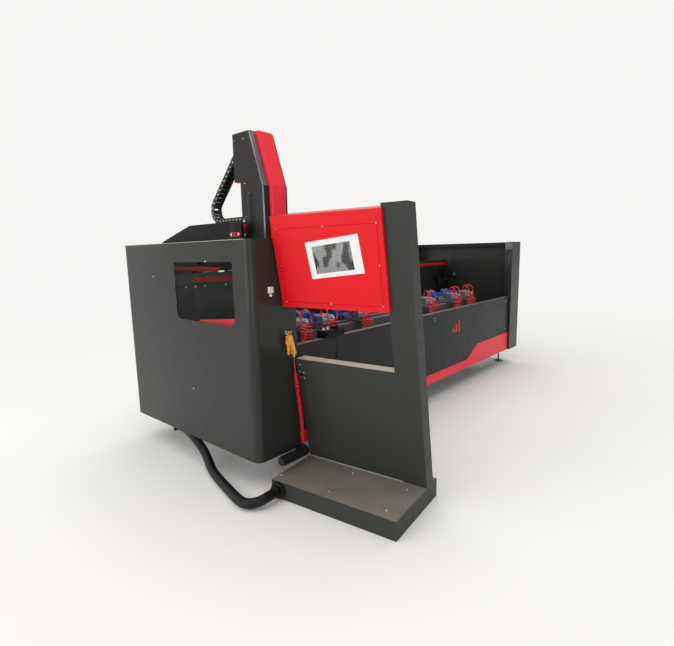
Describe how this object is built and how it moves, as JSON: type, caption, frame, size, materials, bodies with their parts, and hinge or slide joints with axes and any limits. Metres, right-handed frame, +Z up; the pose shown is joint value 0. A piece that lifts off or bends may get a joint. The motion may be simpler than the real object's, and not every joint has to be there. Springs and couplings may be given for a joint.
{
  "type": "cnc machining center",
  "caption": "Long-bed machining center for metal profiles: travelling column with spindle, sliding clamps on a table beam, sheet end guards and a separate leaning control console.",
  "frame": {"origin": "on the floor, in the middle of the footprint of machine and console", "axes": "+X along the bed to the right as seen by the operator in front of it, +Y to the rear, +Z up"},
  "size_m": [4.5167, 2.4242, 2.265],
  "materials": {
    "guard_paint": "satin",
    "front_paint": "satin",
    "red_paint": "satin",
    "window_pane": "clear",
    "frame_paint": "satin",
    "rail_steel": "ground",
    "clamp_alloy": "satin",
    "column_paint": "satin",
    "hood_paint": "satin",
    "chain_plastic": "matte",
    "motor_paint": "satin",
    "spindle_steel": "ground",
    "foot_steel": "zinc plated",
    "console_paint": "satin",
    "fascia_paint": "satin",
    "screen_glass": "gloss",
    "stop_red": "gloss",
    "start_green": "gloss",
    "knob_black": "matte",
    "knob_white": "matte",
    "pendant_plastic": "matte",
    "printed_sheet": "printed film",
    "conduit_black": "satin",
    "hose_red": "gloss",
    "gun_yellow": "satin",
    "gun_black": "matte"
  },
  "bodies": {
    "machine": {"bed_frame": "frame_paint", "levelling_feet": "foot_steel", "front_panel": "front_paint", "front_band": "red_paint", "left_guard": "guard_paint", "left_window": "window_pane", "right_guard": "guard_paint", "rear_panel": "guard_paint", "x_beam": "frame_paint", "beam_cover": "guard_paint", "x_rails": "rail_steel", "table_beam": "frame_paint", "table_rails": "rail_steel", "clamp_hoses": "hose_red", "air_unit": "gun_black", "console_stand": "console_paint", "console_box": "red_paint", "console_tray": "red_paint", "console_fascia": "fascia_paint", "console_screen": "screen_glass", "notice_sheet": "printed_sheet", "console_hose": "conduit_black", "hose_glands": "conduit_black", "pendant_body": "pendant_plastic", "pendant_lead": "conduit_black", "gun_body": "gun_yellow", "gun_hook": "rail_steel", "gun_hose": "hose_red"},
    "x_carriage": {"x_saddle": "frame_paint", "x_blocks": "rail_steel", "x_motor": "motor_paint", "y_housing": "hood_paint", "y_rails": "rail_steel", "energy_chain": "chain_plastic"},
    "y_carriage": {"y_ram": "frame_paint", "column_shell": "column_paint", "column_cover": "red_paint", "z_rails": "rail_steel"},
    "z_carriage": {"spindle_slide": "clamp_alloy", "spindle_motor": "motor_paint"},
    "spindle": {"spindle_nose": "spindle_steel"},
    "stop": {"stop_button": "stop_red"},
    "start": {"start_button": "start_green"},
    "mode": {"mode_knob": "knob_black"},
    "jog_wheel": {"pendant_wheel": "pendant_plastic"},
    "axis_selector": {"pendant_axis_knob": "knob_white"},
    "step_selector": {"pendant_step_knob": "knob_white"},
    "trigger": {"gun_trigger": "gun_black"},
    "clamp_1": {"clamp_1_carriage": "clamp_alloy"},
    "jaw_1": {"clamp_1_jaw": "clamp_alloy"},
    "clamp_2": {"clamp_2_carriage": "clamp_alloy"},
    "jaw_2": {"clamp_2_jaw": "clamp_alloy"},
    "clamp_3": {"clamp_3_carriage": "clamp_alloy"},
    "jaw_3": {"clamp_3_jaw": "clamp_alloy"},
    "clamp_4": {"clamp_4_carriage": "clamp_alloy"},
    "jaw_4": {"clamp_4_jaw": "clamp_alloy"},
    "clamp_5": {"clamp_5_carriage": "clamp_alloy"},
    "jaw_5": {"clamp_5_jaw": "clamp_alloy"},
    "clamp_6": {"clamp_6_carriage": "clamp_alloy"},
    "jaw_6": {"clamp_6_jaw": "clamp_alloy"}
  },
  "joints": [
    {"name": "x_travel", "type": "slide", "parent": "machine", "child": "x_carriage", "axis": [1, 0, 0], "range_m": [0, 3.1]},
    {"name": "y_travel", "type": "slide", "parent": "x_carriage", "child": "y_carriage", "axis": [0, -1, 0], "range_m": [0, 0.25], "deforming": ["energy_chain"]},
    {"name": "z_travel", "type": "slide", "parent": "y_carriage", "child": "z_carriage", "axis": [0, 0, -1], "range_m": [0, 0.25]},
    {"name": "spindle_spin", "type": "hinge", "parent": "z_carriage", "child": "spindle", "pos_m": [-1.6575, 0.08805, 1.28], "axis": [0, 0, 1], "continuous": true},
    {"name": "clamp_1_travel", "type": "slide", "parent": "machine", "child": "clamp_1", "axis": [1, 0, 0], "range_m": [-0.13, 0.07]},
    {"name": "clamp_1_grip", "type": "slide", "parent": "clamp_1", "child": "jaw_1", "axis": [0, 1, 0], "range_m": [0, 0.06]},
    {"name": "clamp_2_travel", "type": "slide", "parent": "machine", "child": "clamp_2", "axis": [1, 0, 0], "range_m": [-0.07, 0.145]},
    {"name": "clamp_2_grip", "type": "slide", "parent": "clamp_2", "child": "jaw_2", "axis": [0, 1, 0], "range_m": [0, 0.06]},
    {"name": "clamp_3_travel", "type": "slide", "parent": "machine", "child": "clamp_3", "axis": [1, 0, 0], "range_m": [-0.145, 0.47]},
    {"name": "clamp_3_grip", "type": "slide", "parent": "clamp_3", "child": "jaw_3", "axis": [0, 1, 0], "range_m": [0, 0.06]},
    {"name": "clamp_4_travel", "type": "slide", "parent": "machine", "child": "clamp_4", "axis": [1, 0, 0], "range_m": [-0.47, 0.2]},
    {"name": "clamp_4_grip", "type": "slide", "parent": "clamp_4", "child": "jaw_4", "axis": [0, 1, 0], "range_m": [0, 0.06]},
    {"name": "clamp_5_travel", "type": "slide", "parent": "machine", "child": "clamp_5", "axis": [1, 0, 0], "range_m": [-0.2, 0.09]},
    {"name": "clamp_5_grip", "type": "slide", "parent": "clamp_5", "child": "jaw_5", "axis": [0, 1, 0], "range_m": [0, 0.06]},
    {"name": "clamp_6_travel", "type": "slide", "parent": "machine", "child": "clamp_6", "axis": [1, 0, 0], "range_m": [-0.09, 0.2]},
    {"name": "clamp_6_grip", "type": "slide", "parent": "clamp_6", "child": "jaw_6", "axis": [0, 1, 0], "range_m": [0, 0.06]},
    {"name": "stop_press", "type": "slide", "parent": "machine", "child": "stop", "axis": [-0.9789, -0.1167, -0.1678], "range_m": [0, 0.006], "stiffness_N_per_m": 900, "springref_m": -0.002},
    {"name": "start_press", "type": "slide", "parent": "machine", "child": "start", "axis": [-0.9789, -0.1167, -0.1678], "range_m": [0, 0.004], "stiffness_N_per_m": 600, "springref_m": -0.002},
    {"name": "mode_turn", "type": "hinge", "parent": "machine", "child": "mode", "pos_m": [-1.73921, -0.62295, 1.26619], "axis": [-0.9789, -0.1167, -0.1678], "range_deg": [-45, 45]},
    {"name": "jog_turn", "type": "hinge", "parent": "machine", "child": "jog_wheel", "pos_m": [-1.3872, -0.26795, 0.921], "axis": [0, 0, 1], "continuous": true},
    {"name": "axis_select", "type": "hinge", "parent": "machine", "child": "axis_selector", "pos_m": [-1.5027, -0.26795, 0.921], "axis": [0, 0, 1], "range_deg": [-60, 60]},
    {"name": "step_select", "type": "hinge", "parent": "machine", "child": "step_selector", "pos_m": [-1.4607, -0.26795, 0.921], "axis": [0, 0, 1], "range_deg": [-60, 60]},
    {"name": "trigger_pull", "type": "hinge", "parent": "machine", "child": "trigger", "pos_m": [-1.9265, -0.35995, 0.92125], "axis": [0, -1, 0], "range_deg": [0, 8], "stiffness_Nm_per_rad": 0.6, "springref_deg": -5.73}
  ]
}
